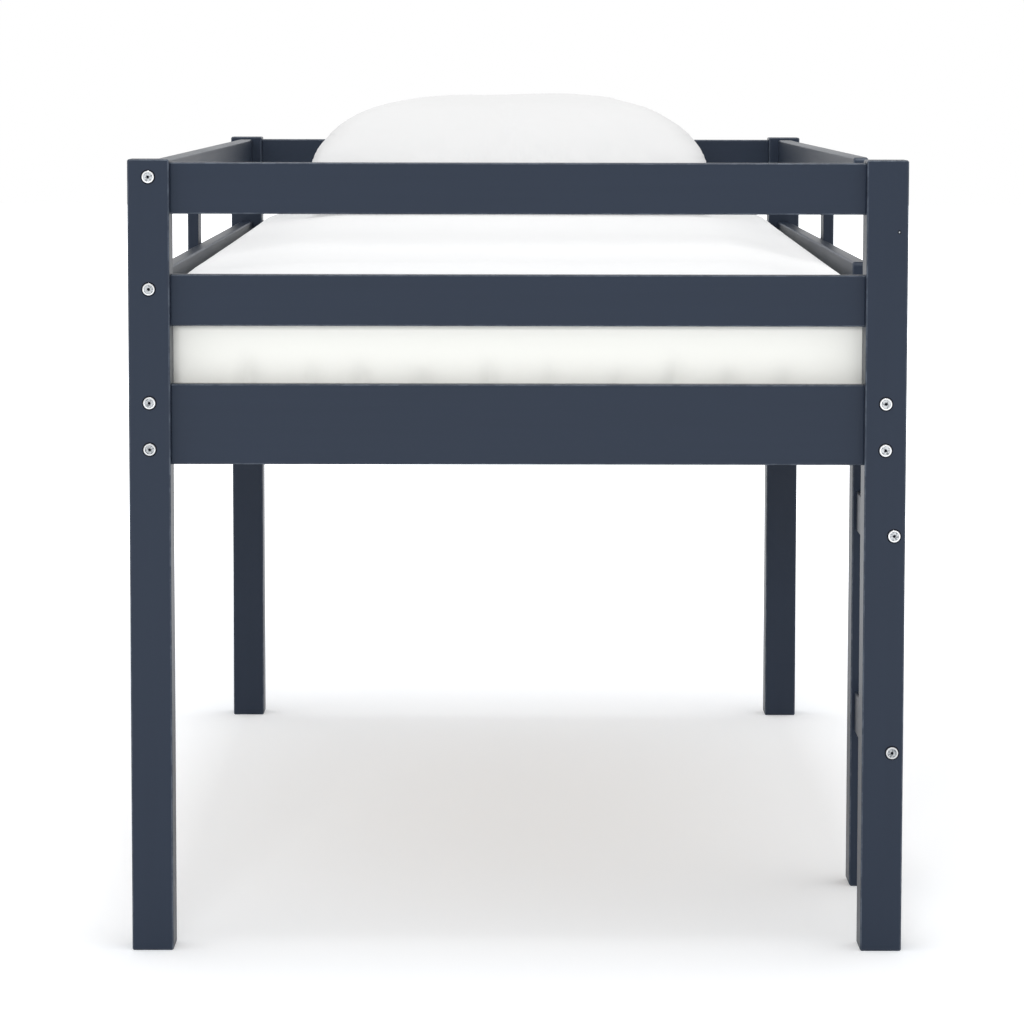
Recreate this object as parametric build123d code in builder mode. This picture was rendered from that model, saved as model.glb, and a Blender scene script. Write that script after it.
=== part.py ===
"""Loft bed: four posts, two railed ends, screwed side rails and guards, a short ladder, slats, a
mattress and a pillow. Millimetres, +Z up, +Y from the foot end to the head end, and the ladder on
the +X side. The origin is on the floor under the middle of the bed."""

import os
from math import cos, radians, sin

from build123d import *

# Posts
bed_width = 1067.0
inner_length = 1905.0
post_side = 57.0
post_height = 1096.0
post_edge = 2.0

# Rails of both ends and both sides have one thickness and stand on the posts' centre lines
rail_thickness = 22.0
rail_edge = 2.0
guard_height = 70.5
bed_rail_height = 111.0
top_drop = 4.5
guard_gap = 83.0
bed_rail_gap = 80.2
free_corner = 9.0

# Stub tenons of the end rails
tenon_length = 22.0
tenon_thickness = 12.0
tenon_shoulder = 9.0
tenon_clearance = 0.1

# Uprights that lap the outer faces of the guards and of the side rail
upright_width = 57.0
upright_top_drop = 10.0
upright_bottom_rise = 12.0
upright_corner = 8.0
upright_edge = 2.0

# Ladder between the front right post and a stile
ladder_clear_width = 369.0
stile_width = 57.0
stile_thickness = 34.5
stile_edge = 2.0
stile_foot_corner = 5.0
guard_overhang = 24.0
rung_height = 60.0
rung_thickness = 26.0
rung_inset = 2.5
rung_edge = 2.0

# Slats on ledgers, held at one pitch by two straps
ledger_thickness = 25.0
ledger_height = 32.0
ledger_rise = 24.7
ledger_end_gap = 70.0
ledger_edge = 2.0
slat_thickness = 19.0
slat_width = 68.0
slat_edge = 1.5
slat_count = 13
slat_end_gap = 3.0
slat_margin = 12.0
strap_width = 25.0
strap_thickness = 1.2
strap_inset = 170.0

# Connector screws with flat heads, which go through posts or stile into the ends of members
screw_radius = 3.0
screw_head_radius = 8.5
screw_head_height = 2.6
screw_socket_width = 5.0
screw_socket_depth = 1.9
screw_reach = 38.0
passing_clearance = 0.5
thread_clearance = 0.05
bore_end_room = 2.0
guard_screw_drop = 19.6
bed_screw_drop = 25.0
bed_screw_spacing = 64.0
rung_screw_drop = 16.5

# Mattress
mattress_thickness = 203.0
mattress_side_gap = 5.0
mattress_end_gap = 2.5
mattress_corner = 60.0
mattress_shoulder = 58.0
mattress_foot = 14.0
mattress_crown = 10.0
mattress_crown_inset = 230.0
soft_gap = 0.3

# Pillow
pillow_length = 712.0
pillow_depth = 450.0
pillow_height = 224.0
pillow_seam_height = 90.0
pillow_corner = 36.0
pillow_side_draw = 16.0
pillow_head_gap = 25.0
pillow_offset = 12.0

# Undersides of the lower and upper rungs, as shares of the height of the side rail's underside
rung_rise_shares = [0.3475, 0.7933]

# Angles of the contours in the mattress's rounded foot and shoulder, and of the pillow's corners
mattress_bend_angles = (0, 45, 90)
pillow_bend_angles = (0, 45, 90)

# Contours of the mattress's crown: share of the crown's inset, share of its rise
mattress_crown_shares = [(0.2, 0.5), (0.5, 0.83), (1.0, 1.0)]

# Contours of the pillow: share of the drop or rise from its seam, share of the seam's plan
pillow_lower_shares = [(1.0, 0.72)]
pillow_upper_shares = [(0.25, 0.954), (0.6, 0.83), (0.86, 0.66), (1.0, 0.38)]

LEFT, RIGHT = -1, 1
FOOT, HEAD = -1, 1
SIDES = {LEFT: "left", RIGHT: "right"}
ENDS = {FOOT: "front", HEAD: "back"}
END_NAMES = {FOOT: "foot", HEAD: "head"}
QUARTER_TURN = 90

# Derived sizes and places of the frame
bed_length = inner_length + 2 * post_side
inner_width = bed_width - 2 * post_side
rail_inset = (post_side - rail_thickness) / 2
post_centre_x = (bed_width - post_side) / 2
post_centre_y = (bed_length - post_side) / 2
rail_inner_x = post_centre_x - rail_thickness / 2
rail_outer_x = post_centre_x + rail_thickness / 2
mortise_width = tenon_thickness + 2 * tenon_clearance
mortise_shoulder = tenon_shoulder - tenon_clearance

guard_upper_top = post_height - top_drop
guard_upper_bottom = guard_upper_top - guard_height
guard_lower_top = guard_upper_bottom - guard_gap
guard_lower_bottom = guard_lower_top - guard_height
bed_rail_top = guard_lower_bottom - bed_rail_gap
bed_rail_bottom = bed_rail_top - bed_rail_height
guards = {"upper": guard_upper_bottom, "lower": guard_lower_bottom}
end_rails = {
    "top": (guard_upper_bottom, guard_height),
    "middle": (guard_lower_bottom, guard_height),
    "bottom": (bed_rail_bottom, bed_rail_height),
}

stile_front_y = -inner_length / 2 + ladder_clear_width
stile_back_y = stile_front_y + stile_width
guard_front_y = stile_front_y - guard_overhang
upright_top = guard_upper_top - upright_top_drop
upright_bottom = bed_rail_bottom + upright_bottom_rise
upright_places = {LEFT: 0.0, RIGHT: (stile_back_y + inner_length / 2) / 2}
rung_centre_x = bed_width / 2 - rung_inset - rung_thickness / 2
rungs = dict(zip(("lower", "upper"), [bed_rail_bottom * share for share in rung_rise_shares]))

# Heights of the connector screws
bed_screw_heights = [bed_rail_top - bed_screw_drop, bed_rail_top - bed_screw_drop - bed_screw_spacing]
guard_screw_rise = guard_height - guard_screw_drop
rung_screw_rise = rung_height - rung_screw_drop

# Derived sizes and places of the slats and their ledgers
ledger_centre_z = bed_rail_bottom + ledger_rise + ledger_height / 2
ledger_top = ledger_centre_z + ledger_height / 2
ledger_length = inner_length - 2 * ledger_end_gap
ledger_centre_x = rail_inner_x - ledger_thickness / 2
slat_length = 2 * (rail_inner_x - slat_end_gap)
slat_pitch = (ledger_length - 2 * slat_margin - slat_width) / (slat_count - 1)
slat_places = [slat_pitch * (number - (slat_count - 1) / 2) for number in range(slat_count)]
strap_x = slat_length / 2 - strap_inset
strap_length = slat_places[-1] - slat_places[0] + slat_width

# Derived sizes and places of the soft pieces
mattress_width = 2 * (rail_inner_x - mattress_side_gap)
mattress_length = inner_length - 2 * mattress_end_gap
mattress_bottom = ledger_top + slat_thickness + soft_gap
mattress_top = mattress_bottom + mattress_thickness
pillow_centre_y = post_centre_y - rail_thickness / 2 - pillow_head_gap - pillow_depth / 2
pillow_seam_z = mattress_top + soft_gap + pillow_seam_height
pillow_rise = pillow_height - pillow_seam_height

os.makedirs("parts", exist_ok=True)


def keep(builder, label):
    """Labels a finished piece and writes its file."""
    builder.part.label = label
    export_step(builder.part, f"parts/{label}.step")


def facing_y(x, y, z, end):
    """A place whose outward direction is +Y for the head end and -Y for the foot end."""
    return Plane(origin=(x, y, z), x_dir=(-end, 0, 0), z_dir=(0, end, 0)).location


def facing_x(x, y, z, side):
    """A plane whose own x is Y, and whose outward direction is +X for the right side."""
    return Plane(origin=(x, y, z), x_dir=(0, 1, 0), z_dir=(side, 0, 0))


def section_at(x, y, z):
    """A cross-section plane that faces the foot end: its x is X and its y is Z."""
    return Plane(origin=(x, y, z), x_dir=(1, 0, 0), z_dir=(0, -1, 0))


def post_screw_sites(side, end):
    """X and Z of the screws in a post. The front right one carries rungs instead of guards."""
    sites = [(side * post_centre_x, z) for z in bed_screw_heights]
    if (side, end) == (RIGHT, FOOT):
        return sites + [(rung_centre_x, bottom + rung_screw_rise) for bottom in rungs.values()]
    return sites + [(side * post_centre_x, bottom + guard_screw_rise) for bottom in guards.values()]


def bore_member_end(x, y, end, heights):
    """Bores one end of a member for the threads of its connector screws."""
    with Locations(*[facing_y(x, y, z, end) for z in heights]):
        Hole(screw_radius + thread_clearance, screw_reach + bore_end_room)


# Posts: connector screws pass from the outer end face, and mortises take the end rails' tenons
for side, side_name in SIDES.items():
    for end, end_name in ENDS.items():
        post_y = end * post_centre_y
        with BuildPart() as post:
            with BuildSketch(Plane((side * post_centre_x, post_y, 0))):
                Rectangle(post_side, post_side)
            extrude(amount=post_height)
            chamfer(post.edges(), post_edge)
            outer_y = end * bed_length / 2
            with Locations(*[facing_y(x, outer_y, z, end) for x, z in post_screw_sites(side, end)]):
                Hole(screw_radius + passing_clearance)
            for bottom, height in end_rails.values():
                with BuildSketch(facing_x(side * inner_width / 2, post_y, bottom + height / 2, side)):
                    Rectangle(mortise_width, height - 2 * mortise_shoulder)
                extrude(amount=tenon_length + tenon_clearance, mode=Mode.SUBTRACT)
        keep(post, f"post_{end_name}_{side_name}")

# End rails run across the bed between the posts and end in stub tenons
for end, end_name in END_NAMES.items():
    for rail_name, (bottom, height) in end_rails.items():
        shoulder = facing_x(-inner_width / 2, end * post_centre_y, bottom + height / 2, RIGHT)
        with BuildPart() as end_rail:
            with BuildSketch(shoulder):
                Rectangle(rail_thickness, height)
            extrude(amount=inner_width)
            chamfer(end_rail.edges().filter_by(Axis.X), rail_edge)
            with BuildSketch(shoulder.offset(-tenon_length)):
                Rectangle(tenon_thickness, height - 2 * tenon_shoulder)
            extrude(amount=inner_width + 2 * tenon_length)
        keep(end_rail, f"{end_name}_{rail_name}_rail")

# Side rails
for side, side_name in SIDES.items():
    rail_x = side * post_centre_x
    with BuildPart() as side_rail:
        with BuildSketch(section_at(rail_x, inner_length / 2, bed_rail_bottom + bed_rail_height / 2)):
            Rectangle(rail_thickness, bed_rail_height)
        extrude(amount=inner_length)
        chamfer(side_rail.edges().filter_by(Axis.Y), rail_edge)
        for end in ENDS:
            bore_member_end(rail_x, end * inner_length / 2, end, bed_screw_heights)
    keep(side_rail, f"side_rail_{side_name}")

# Left guards run from post to post
for guard_name, bottom in guards.items():
    with BuildPart() as guard:
        with BuildSketch(section_at(-post_centre_x, inner_length / 2, bottom + guard_height / 2)):
            Rectangle(rail_thickness, guard_height)
        extrude(amount=inner_length)
        chamfer(guard.edges().filter_by(Axis.Y), rail_edge)
        for end in ENDS:
            bore_member_end(-post_centre_x, end * inner_length / 2, end, [bottom + guard_screw_rise])
    keep(guard, f"guard_{guard_name}_left")

# Right guards stop short at the ladder, with rounded free corners
for guard_name, bottom in guards.items():
    with BuildPart() as guard:
        with BuildSketch(section_at(post_centre_x, inner_length / 2, bottom + guard_height / 2)):
            Rectangle(rail_thickness, guard_height)
        extrude(amount=inner_length / 2 - guard_front_y)
        fillet(guard.faces().sort_by(Axis.Y)[0].edges().filter_by(Axis.X), free_corner)
        outlines = guard.faces().filter_by(Axis.X).edges().sort_by(Axis.Y)
        chamfer(outlines[:-2], rail_edge)
        bore_member_end(post_centre_x, inner_length / 2, HEAD, [bottom + guard_screw_rise])
    keep(guard, f"guard_{guard_name}_right")

# Guard uprights stand flush with the posts' outer faces
upright_height = upright_top - upright_bottom
for side, side_name in SIDES.items():
    lapped = facing_x(side * rail_outer_x, upright_places[side], upright_bottom + upright_height / 2, side)
    with BuildPart() as upright:
        with BuildSketch(lapped):
            RectangleRounded(upright_width, upright_height, upright_corner)
        extrude(amount=rail_inset)
        outer_face = upright.faces().sort_by(Axis.X)[-1 if side == RIGHT else 0]
        chamfer(outer_face.edges(), upright_edge)
    keep(upright, f"guard_upright_{side_name}")

# The stile is thick below the side rail, which sits on its shoulder, and laps the rails above
stile_inner_x = bed_width / 2 - stile_thickness
rung_screw_heights = [bottom + rung_screw_rise for bottom in rungs.values()]
stile_screw_places = [facing_y(rung_centre_x, stile_back_y, z, HEAD) for z in rung_screw_heights]
with BuildPart() as stile:
    with BuildSketch(section_at(0, stile_back_y, 0)):
        with BuildLine():
            Polyline(
                (bed_width / 2, 0),
                (bed_width / 2, upright_top),
                (rail_outer_x, upright_top),
                (rail_outer_x, bed_rail_bottom),
                (stile_inner_x, bed_rail_bottom),
                (stile_inner_x, 0),
                close=True,
            )
        make_face()
    extrude(amount=stile_width)
    fillet(stile.faces().sort_by(Axis.Z)[-1].edges().filter_by(Axis.X), upright_corner)
    fillet(stile.faces().sort_by(Axis.Z)[0].edges().filter_by(Axis.Y), stile_foot_corner)
    chamfer(stile.edges().filter_by(Axis.Z), stile_edge)
    with Locations(*stile_screw_places):
        Hole(screw_radius + passing_clearance)
keep(stile, "ladder_stile")

# Rungs
for rung_name, bottom in rungs.items():
    with BuildPart() as rung:
        with BuildSketch(section_at(rung_centre_x, stile_front_y, bottom + rung_height / 2)):
            Rectangle(rung_thickness, rung_height)
        extrude(amount=ladder_clear_width)
        chamfer(rung.edges().filter_by(Axis.Y), rung_edge)
        for end, y in ((FOOT, -inner_length / 2), (HEAD, stile_front_y)):
            bore_member_end(rung_centre_x, y, end, [bottom + rung_screw_rise])
    keep(rung, f"ladder_rung_{rung_name}")

# Ledgers
for side, side_name in SIDES.items():
    with BuildPart() as ledger:
        with BuildSketch(section_at(side * ledger_centre_x, ledger_length / 2, ledger_centre_z)):
            Rectangle(ledger_thickness, ledger_height)
        extrude(amount=ledger_length)
        chamfer(ledger.edges().filter_by(Axis.Y), ledger_edge)
    keep(ledger, f"slat_ledger_{side_name}")

# Slats
for number, place in enumerate(slat_places, 1):
    with BuildPart() as slat:
        with BuildSketch(Plane((0, place, ledger_top))):
            Rectangle(slat_length, slat_width)
        extrude(amount=slat_thickness)
        chamfer(slat.edges().filter_by(Axis.X).group_by(Axis.Z)[-1], slat_edge)
    keep(slat, f"slat_{number:02d}")

# Straps under the slats
for side, side_name in SIDES.items():
    with BuildPart() as strap:
        with BuildSketch(Plane((side * strap_x, 0, ledger_top))):
            Rectangle(strap_width, strap_length)
        extrude(amount=-strap_thickness)
    keep(strap, f"slat_strap_{side_name}")

# One connector screw, its head above the origin and its shank below
shank = post_side + screw_reach
with BuildPart() as connector_screw:
    with BuildSketch(Plane.XZ):
        with BuildLine():
            Polyline(
                (0, screw_head_height),
                (screw_head_radius, screw_head_height),
                (screw_head_radius, 0),
                (screw_radius, 0),
                (screw_radius, -shank),
                (0, -shank),
                close=True,
            )
        make_face()
    revolve(axis=Axis.Z)
    with BuildSketch(Plane.XY.offset(screw_head_height)):
        RegularPolygon(screw_socket_width / 2, 6, major_radius=False)
    extrude(amount=-screw_socket_depth, mode=Mode.SUBTRACT)

# Connector screws, their heads on the outer faces of the posts and on the back of the stile
screw_places = [
    facing_y(x, end * bed_length / 2, z, end)
    for side in SIDES
    for end in ENDS
    for x, z in post_screw_sites(side, end)
]
with BuildPart() as connector_screws:
    with Locations(*screw_places, *stile_screw_places):
        add(connector_screw.part)
keep(connector_screws, "connector_screws")

# Mattress: rounded foot and shoulder, and a low crown
shoulder_z = mattress_top - mattress_crown
mattress_contours = []
for angle in mattress_bend_angles:
    inset = mattress_foot * (1 - sin(radians(angle)))
    mattress_contours.append((inset, mattress_bottom + mattress_foot * (1 - cos(radians(angle)))))
for angle in mattress_bend_angles:
    inset = mattress_shoulder * (1 - cos(radians(angle)))
    mattress_contours.append((inset, shoulder_z - mattress_shoulder * (1 - sin(radians(angle)))))
for inset_share, rise_share in mattress_crown_shares:
    inset = mattress_shoulder + (mattress_crown_inset - mattress_shoulder) * inset_share
    mattress_contours.append((inset, shoulder_z + mattress_crown * rise_share))
with BuildPart() as mattress:
    for inset, height in mattress_contours:
        with BuildSketch(Plane.XY.offset(height)):
            RectangleRounded(mattress_width - 2 * inset, mattress_length - 2 * inset, mattress_corner)
    loft(ruled=True)
keep(mattress, "mattress")

# Outline of the pillow's seam, side by side: the middle is drawn in, and a round corner follows
pillow_outline = []
half_sizes = [(pillow_length / 2, pillow_depth / 2), (pillow_depth / 2, pillow_length / 2)]
for turn, (reach, half_side) in enumerate(half_sizes * 2):
    points = [Vector(reach - pillow_side_draw, 0)]
    for angle in pillow_bend_angles:
        bend_x = reach - pillow_corner * (1 - cos(radians(angle)))
        bend_y = half_side - pillow_corner * (1 - sin(radians(angle)))
        points.append(Vector(bend_x, bend_y))
    pillow_outline += [point.rotate(Axis.Z, QUARTER_TURN * turn) for point in points]

# Pillow: full in the middle, each contour a smaller copy of the seam's
pillow_contours = [(pillow_seam_z - pillow_seam_height * drop, plan) for drop, plan in pillow_lower_shares]
pillow_contours.append((pillow_seam_z, 1.0))
pillow_contours += [(pillow_seam_z + pillow_rise * rise, plan) for rise, plan in pillow_upper_shares]
with BuildPart() as pillow:
    for height, plan in pillow_contours:
        with BuildSketch(Plane((-pillow_offset, pillow_centre_y, height))):
            with BuildLine():
                Polyline(*[point * plan for point in pillow_outline], close=True)
            make_face()
    loft(ruled=True)
keep(pillow, "pillow")
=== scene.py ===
"""Looks of the loft bed: satin blue-grey paint, pine slats, zinc-plated screws, a mattress in its fitted
sheet and a pillow. Metres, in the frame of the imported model."""

import random
from math import cos, pi, radians, sin

import bmesh
import bpy
import numpy as np
from mathutils import Matrix, Vector, noise


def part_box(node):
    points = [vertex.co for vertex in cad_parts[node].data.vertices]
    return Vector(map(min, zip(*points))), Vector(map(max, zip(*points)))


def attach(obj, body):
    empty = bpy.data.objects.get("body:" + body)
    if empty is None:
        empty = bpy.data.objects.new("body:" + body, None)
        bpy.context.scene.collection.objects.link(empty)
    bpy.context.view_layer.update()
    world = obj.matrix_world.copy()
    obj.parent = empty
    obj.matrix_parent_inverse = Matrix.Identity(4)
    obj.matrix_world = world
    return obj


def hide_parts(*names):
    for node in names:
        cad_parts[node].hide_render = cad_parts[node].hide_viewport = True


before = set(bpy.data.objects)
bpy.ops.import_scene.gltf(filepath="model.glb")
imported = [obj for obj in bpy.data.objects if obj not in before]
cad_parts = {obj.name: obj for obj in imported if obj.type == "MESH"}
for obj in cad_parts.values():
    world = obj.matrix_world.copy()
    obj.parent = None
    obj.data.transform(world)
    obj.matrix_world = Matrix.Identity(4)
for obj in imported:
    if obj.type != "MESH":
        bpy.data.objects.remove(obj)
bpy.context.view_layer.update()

bpy.ops.object.select_all(action="DESELECT")
scene = bpy.context.scene
mm = 0.001

# Camera, from the corners of the posts and rails in the photograph
CAMERA_PLACE = (-14.3 * mm, -6206.0 * mm, 1207.7 * mm)
CAMERA_PAN = -0.00124
CAMERA_TILT = 0.08705
CAMERA_ROLL = 0.00157
CAMERA_LENS = 133.75
CAMERA_SENSOR = 36.0
CAMERA_SHIFT = -0.1
CAMERA_FAR = 200.0

# Lamps: place, aim, size across, size along, power in watts
LAMPS = {
    "overhead_strip": ((0, 0, 12.0), (0, 0, 0), 1.4, 5.0, 320.0),
    "front_softbox": ((-0.6, -9.0, 2.0), (0, 0, 0.8), 2.4, 1.2, 300.0),
}
UNREFLECTED_LAMPS = ("front_softbox",)
AMBIENT_LEVEL = 0.85
FLOOR_SIZE = 60.0
FLOOR_TONE = (0.836, 0.856, 0.882)
FLOOR_GLOW = 0.215
FLOOR_FAR_GLOW = 1.0
FLOOR_GLOSS_SHARE = 0.35
FLOOR_NEAR_RADIUS = 1.5
FLOOR_FAR_RADIUS = 3.5

# Tones of the finishes, linear
PAINT_TONE = (0.0205, 0.0288, 0.0462)
# Lighter paint along the edges: partly wear, partly a painted highlight
PAINT_WORN_HIGHLIGHT_TONE = (0.120, 0.142, 0.178)
NICK_CHIP_TONE = (0.42, 0.44, 0.47)
# Zinc made near white so the screw heads' rims show a painted highlight; the darker zinc is painted shade
# further in
ZINC_HIGHLIGHT_TONE = (0.98, 0.985, 0.99)
ZINC_SHADED_TONE = (0.64, 0.66, 0.675)
ZINC_SPECK_TONE = (0.10, 0.11, 0.12)
# Near black: painted shade in screw sockets and a painted contact shadow round screw heads; also the dark of
# the nick
SHADE_AND_NICK_DARK_TONE = (0.004, 0.005, 0.008)
PINE_PALE_TONE = (0.66, 0.47, 0.27)
PINE_RING_TONE = (0.50, 0.31, 0.15)
PINE_KNOT_TONE = (0.20, 0.09, 0.035)
WEBBING_TONE = (0.72, 0.71, 0.67)
SHEET_TONE = (0.895, 0.90, 0.905)
SHEET_SIDE_TONE = (0.895, 0.894, 0.848)
TICKING_TONE = (0.80, 0.80, 0.78)
PILLOW_TONE = (0.72, 0.72, 0.72)

# The paint's rounded edges and grain, and the one nick in it
PAINT_EDGE_ROUND = 2.2 * mm
PAINT_GRAIN_DEPTH = 0.12 * mm
GRAIN_STRETCH = 0.035
NICK_PLACE = (521.0 * mm, -1009.5 * mm, 998.0 * mm)
NICK_REACH = 5.6 * mm
NICK_EDGE = 1.6 * mm
NICK_RAGGED = 7.0 * mm
NICK_DEPTH = 0.8 * mm
NICK_CHIP = 1.3 * mm

# Relief of the other finishes
PINE_GRAIN_DEPTH = 0.3 * mm
WEBBING_DEPTH = 0.3 * mm
ZINC_MARK_DEPTH = 0.05 * mm
# Relief of the near black finish that paints shade in sockets and round screw heads
SHADE_MOTTLE_DEPTH = 0.1 * mm
COTTON_NAP_DEPTH = 2.0 * mm
COTTON_THREAD_DEPTH = 0.12 * mm
SHEET_THREAD = 0.5 * mm
PILLOW_THREAD = 0.4 * mm
QUILT_DEPTH = 6.0 * mm
KNIT_DEPTH = 0.15 * mm

# Seam and stitches at each corner of the fitted sheet
CORNER_SEAM_HEIGHT = 1.2 * mm
CORNER_SEAM_REACH = (2.6 * mm, 0.8 * mm)
STITCH_ASIDE = 4.5 * mm
STITCH_REACH = (0.9 * mm, 0.3 * mm)
STITCH_PITCH = 3.0 * mm


# Shader nodes


class Socket:
    """A socket of a finish. Sums on it add Math nodes."""

    def __init__(self, finish, socket):
        self.finish = finish
        self.socket = socket

    def math(self, operation, *values):
        numbered = dict(enumerate(values))
        return self.finish.node("ShaderNodeMath", {"operation": operation}, numbered)

    def __add__(self, other):
        return self.math("ADD", self, other)

    def __sub__(self, other):
        return self.math("SUBTRACT", self, other)

    def __rsub__(self, other):
        return self.math("SUBTRACT", other, self)

    def __mul__(self, other):
        return self.math("MULTIPLY", self, other)

    def __abs__(self):
        return self.math("ABSOLUTE", self)

    __radd__ = __add__
    __rmul__ = __mul__


class Finish:
    """A material, or the world, made of nodes."""

    def __init__(self, holder):
        holder.use_nodes = True
        self.holder = holder
        self.tree = holder.node_tree
        self.tree.nodes.clear()

    def node(self, kind, settings=None, inputs=None, output=0):
        """Adds a node, sets its settings, then its sockets, and gives back one of its outputs."""
        added = self.tree.nodes.new(kind)
        for name, value in (settings or {}).items():
            setattr(added, name, value)
        for name, value in (inputs or {}).items():
            if isinstance(value, Socket):
                self.tree.links.new(value.socket, added.inputs[name])
            else:
                added.inputs[name].default_value = value
        return Socket(self, added.outputs[output]) if len(added.outputs) else None

    def place(self, scale=(1, 1, 1)):
        """Object coordinates in metres, each axis scaled."""
        spot = self.node("ShaderNodeTexCoord", output="Object")
        return self.node("ShaderNodeMapping", inputs={"Vector": spot, "Scale": scale})

    def parts(self, vector):
        """The X, Y and Z of a vector."""
        return [self.node("ShaderNodeSeparateXYZ", inputs={"Vector": vector}, output=part) for part in "XYZ"]

    def rays(self):
        """Whether a ray comes straight from the camera, from a reflection, or through a piece."""
        return [self.node("ShaderNodeLightPath", output=ray)
                for ray in ("Is Camera Ray", "Is Glossy Ray", "Is Transmission Ray")]

    def noise(self, vector, scale, detail=3.0, roughness=0.5):
        settings = {"noise_dimensions": "3D"}
        inputs = {"Vector": vector, "Scale": scale, "Detail": detail, "Roughness": roughness}
        return self.node("ShaderNodeTexNoise", settings, inputs)

    def ramp(self, value, start, end, low=0.0, high=1.0):
        """A smooth step of a value from low at start to high at end."""
        settings = {"interpolation_type": "SMOOTHSTEP"}
        inputs = {"Value": value, "From Min": start, "From Max": end, "To Min": low, "To Max": high}
        return self.node("ShaderNodeMapRange", settings, inputs)

    def blend(self, share, first, second):
        """A colour between two others."""
        colours = {0: share, 6: rgba(first), 7: rgba(second)}
        return self.node("ShaderNodeMix", {"data_type": "RGBA"}, colours, output=2)

    def bump(self, height, distance, strength=1.0, normal=None):
        inputs = {"Height": height, "Distance": distance, "Strength": strength}
        if normal:
            inputs["Normal"] = normal
        return self.node("ShaderNodeBump", inputs=inputs)

    def surface(self, **inputs):
        """The principled shader. A space in a socket's name is an underscore here."""
        named = {name.replace("_", " "): value for name, value in inputs.items()}
        shader = self.node("ShaderNodeBsdfPrincipled", inputs=named)
        self.node("ShaderNodeOutputMaterial", inputs={"Surface": shader})


def rgba(tone):
    return tone if isinstance(tone, Socket) else (*tone, 1)


def toned(tone, level):
    """A tone made darker or lighter."""
    return [part * level for part in tone]


def finish(name):
    return Finish(bpy.data.materials.new(name))


# Finishes


def worn_and_highlit_edges(paint, scuff):
    """Where the paint is made lighter along rounded edges, more in the scuffed patches: partly wear, partly
    a painted highlight along the edges.
    """
    facing = paint.node("ShaderNodeNewGeometry", output="True Normal")
    facing = paint.node("ShaderNodeVectorMath", {"operation": "ABSOLUTE"}, {0: facing})
    x, y, z = paint.parts(facing)
    flatness = x.math("MAXIMUM", x.math("MAXIMUM", x, y), z)
    return paint.ramp(flatness, 0.97, 0.80) * paint.ramp(scuff, 0.40, 0.62, 0.35, 1.0)


def painted_wood(axis):
    """Satin paint over planed wood, lighter at its edges as wear and as a painted highlight, and with one
    nick. The wood's grain runs along an axis, 0 to 2 for X to Z."""
    paint = finish("painted_wood_" + "xyz"[axis])
    along = [1.0, 1.0, 1.0]
    along[axis] = GRAIN_STRETCH
    across = paint.place(along)
    spot = paint.place()
    broad = paint.noise(spot, 3.0, 2.0)
    grain = paint.noise(across, 90.0, 4.0, 0.6)
    fibre = paint.noise(across, 700.0, 2.0)
    scuff = paint.noise(spot, 55.0, 5.0, 0.7)
    tone = paint.blend((broad - 0.5) * 0.5 + (grain - 0.5) * 0.7 + 0.5,
                       toned(PAINT_TONE, 0.93), toned(PAINT_TONE, 1.08))
    # Edges made lighter: partly wear, partly a painted highlight along them
    coloured = paint.blend(worn_and_highlit_edges(paint, scuff) * 0.55, tone, PAINT_WORN_HIGHLIGHT_TONE)
    rounded = paint.node("ShaderNodeBevel", {"samples": 6}, {"Radius": PAINT_EDGE_ROUND})
    away = paint.node("ShaderNodeVectorMath", {"operation": "DISTANCE"}, {0: spot, 1: NICK_PLACE},
                      output="Value")
    nick = paint.ramp(away + scuff * NICK_RAGGED, NICK_REACH + NICK_EDGE, NICK_REACH)
    # The nick: a near black mark round a pale chip, in the same dark tone that paints shade at the screws
    dented = paint.blend(nick * 0.8, coloured, SHADE_AND_NICK_DARK_TONE)
    grained = paint.bump(grain * 0.9 + fibre * 0.1, PAINT_GRAIN_DEPTH, 0.03, rounded)
    paint.surface(
        Base_Color=paint.blend(paint.ramp(away, NICK_CHIP, NICK_CHIP / 2), dented, NICK_CHIP_TONE),
        Roughness=paint.ramp(grain * 0.5 + broad * 0.5, 0.3, 0.7, 0.33, 0.38),
        Specular_IOR_Level=0.18,
        Normal=paint.bump(1 - nick, NICK_DEPTH, 1.0, grained),
    )
    return paint.holder


def slat_pine():
    """Planed pine whose rings run along X, with a few knots."""
    pine = finish("slat_pine")
    bent = pine.noise(pine.place((0.6, 1, 1)), 5.0, 2.0)
    rings = pine.node("ShaderNodeTexWave", {"wave_type": "BANDS", "bands_direction": "Y"},
                      {"Vector": pine.place((0.02, 1.0, 0.6)), "Scale": 38.0, "Distortion": 7.0,
                       "Detail": 3.0, "Detail Scale": 1.6})
    fibre = pine.noise(pine.place((0.02, 1, 1)), 900.0, 2.0)
    cells = pine.node("ShaderNodeTexVoronoi", {"feature": "F1"},
                      {"Vector": pine.place((1.0, 1.6, 1.6)), "Scale": 3.4}, output="Distance")
    knot = pine.ramp(cells, 0.075, 0.035)
    wood = pine.blend(rings * 0.55 + bent * 0.25, PINE_PALE_TONE, PINE_RING_TONE)
    fine = pine.blend(fibre * 0.22, wood, PINE_RING_TONE)
    coloured = pine.blend(knot * 0.8, fine, PINE_KNOT_TONE)
    pine.surface(
        Base_Color=coloured,
        Roughness=pine.ramp(fibre, 0.3, 0.7, 0.55, 0.68),
        Normal=pine.bump(rings * 0.4 + fibre * 0.6, PINE_GRAIN_DEPTH, 0.4),
    )
    return pine.holder


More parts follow.
